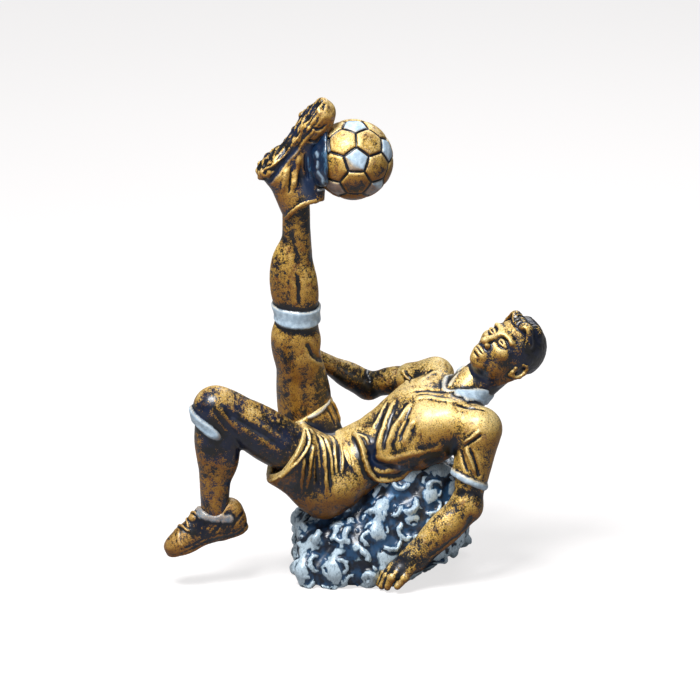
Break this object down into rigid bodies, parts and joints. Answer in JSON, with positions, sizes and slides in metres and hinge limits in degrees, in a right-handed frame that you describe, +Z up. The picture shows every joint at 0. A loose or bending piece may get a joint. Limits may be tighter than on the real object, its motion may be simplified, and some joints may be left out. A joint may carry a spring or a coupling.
{
  "type": "figure trophy",
  "caption": "Footballer award: a reclining player on a rock strikes a ball overhead with a raised boot; antique gold and silver over blue-black.",
  "frame": {"origin": "mouth of the threaded insert, in the plane the trophy stands on", "axes": "+Z up; +X towards the figure's head; -Y is the front, from which the figure is seen side on"},
  "size_m": [0.1885, 0.0905, 0.2487],
  "materials": {
    "gold_over_black": "antique gold drybrushed over blue-black, satin varnish",
    "silver_over_navy": "silver drybrushed over dark navy, satin varnish",
    "gold_and_silver": "gold and silver panels with dark seams, satin varnish",
    "dark_blue": "dark blue, satin varnish",
    "steel": "drawn wire",
    "brass": "turned",
    "felt": "dense felt"
  },
  "bodies": {
    "root": {"rock_base": "silver_over_navy", "base_felt": "felt", "threaded_insert": "brass", "seat_dowel": "steel", "back_dowel": "steel", "shorts": "gold_over_black", "shirt": "gold_over_black", "head": "gold_over_black", "left_arm": "gold_over_black", "right_arm": "gold_over_black", "right_leg": "gold_over_black", "left_leg": "gold_over_black", "right_boot": "gold_over_black", "left_boot": "gold_over_black", "ball_web": "dark_blue", "ball": "gold_and_silver", "leg_rod": "steel", "spine_rod": "steel", "neck_pin": "steel", "ball_pin": "steel", "left_leg_wire": "steel", "left_arm_wire": "steel", "right_arm_wire": "steel"}
  },
  "joints": []
}
